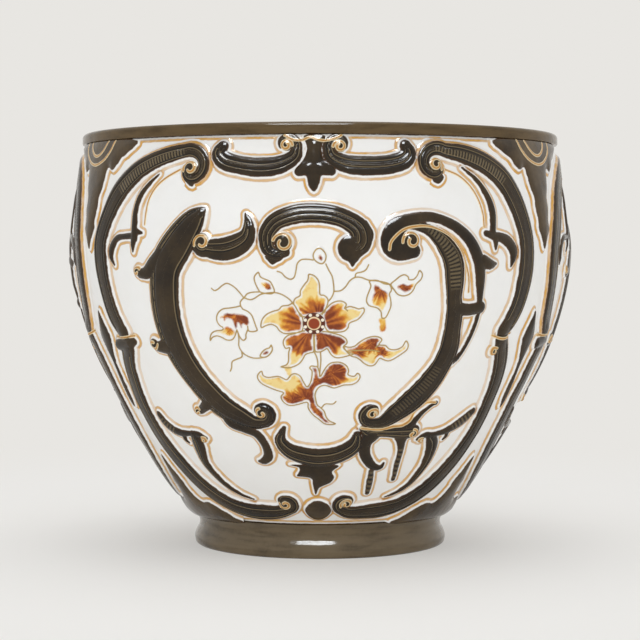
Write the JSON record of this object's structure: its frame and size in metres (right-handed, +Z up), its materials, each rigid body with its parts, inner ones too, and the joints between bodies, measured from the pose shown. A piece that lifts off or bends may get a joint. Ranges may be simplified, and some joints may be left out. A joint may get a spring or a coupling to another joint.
{
  "type": "jardiniere",
  "caption": "Round tapering glazed earthenware jardiniere on a moulded foot ring, with a rolled rim and panels of scrolls, leaves and drops in relief.",
  "frame": {"origin": "middle of the foot ring's underside, on the surface that the pot stands on", "axes": "+Z up the pot's axis; -Y out through the middle of the first relief panel"},
  "size_m": [0.3717, 0.3704, 0.3],
  "materials": {
    "white_glaze": "glossy",
    "olive_glaze": "glossy",
    "umber_glaze": "glossy"
  },
  "bodies": {
    "root": {"pot_wall": "white_glaze", "foot_ring": "olive_glaze", "rim_band": "olive_glaze", "frame_upper_left_1": "umber_glaze", "frame_upper_right_1": "umber_glaze", "frame_lower_left_1": "umber_glaze", "frame_lower_right_1": "umber_glaze", "branch_left_1": "umber_glaze", "branch_right_1": "umber_glaze", "lower_leaf_left_1": "umber_glaze", "lower_leaf_right_1": "umber_glaze", "cartouche_left_1": "umber_glaze", "cartouche_hook_1": "umber_glaze", "cartouche_crest_1": "umber_glaze", "cartouche_right_1": "umber_glaze", "cartouche_basin_1": "umber_glaze", "base_bead_1": "olive_glaze", "rim_garland_1": "umber_glaze", "rim_leaf_1": "olive_glaze", "spear_drop_1": "umber_glaze", "foot_leaf_1": "olive_glaze", "frame_upper_left_2": "umber_glaze", "frame_upper_right_2": "umber_glaze", "frame_lower_left_2": "umber_glaze", "frame_lower_right_2": "umber_glaze", "branch_left_2": "umber_glaze", "branch_right_2": "umber_glaze", "lower_leaf_left_2": "umber_glaze", "lower_leaf_right_2": "umber_glaze", "cartouche_left_2": "umber_glaze", "cartouche_hook_2": "umber_glaze", "cartouche_crest_2": "umber_glaze", "cartouche_right_2": "umber_glaze", "cartouche_basin_2": "umber_glaze", "base_bead_2": "olive_glaze", "rim_garland_2": "umber_glaze", "rim_leaf_2": "olive_glaze", "spear_drop_2": "umber_glaze", "foot_leaf_2": "olive_glaze", "frame_upper_left_3": "umber_glaze", "frame_upper_right_3": "umber_glaze", "frame_lower_left_3": "umber_glaze", "frame_lower_right_3": "umber_glaze", "branch_left_3": "umber_glaze", "branch_right_3": "umber_glaze", "lower_leaf_left_3": "umber_glaze", "lower_leaf_right_3": "umber_glaze", "cartouche_left_3": "umber_glaze", "cartouche_hook_3": "umber_glaze", "cartouche_crest_3": "umber_glaze", "cartouche_right_3": "umber_glaze", "cartouche_basin_3": "umber_glaze", "base_bead_3": "olive_glaze", "rim_garland_3": "umber_glaze", "rim_leaf_3": "olive_glaze", "spear_drop_3": "umber_glaze", "foot_leaf_3": "olive_glaze"}
  },
  "joints": []
}
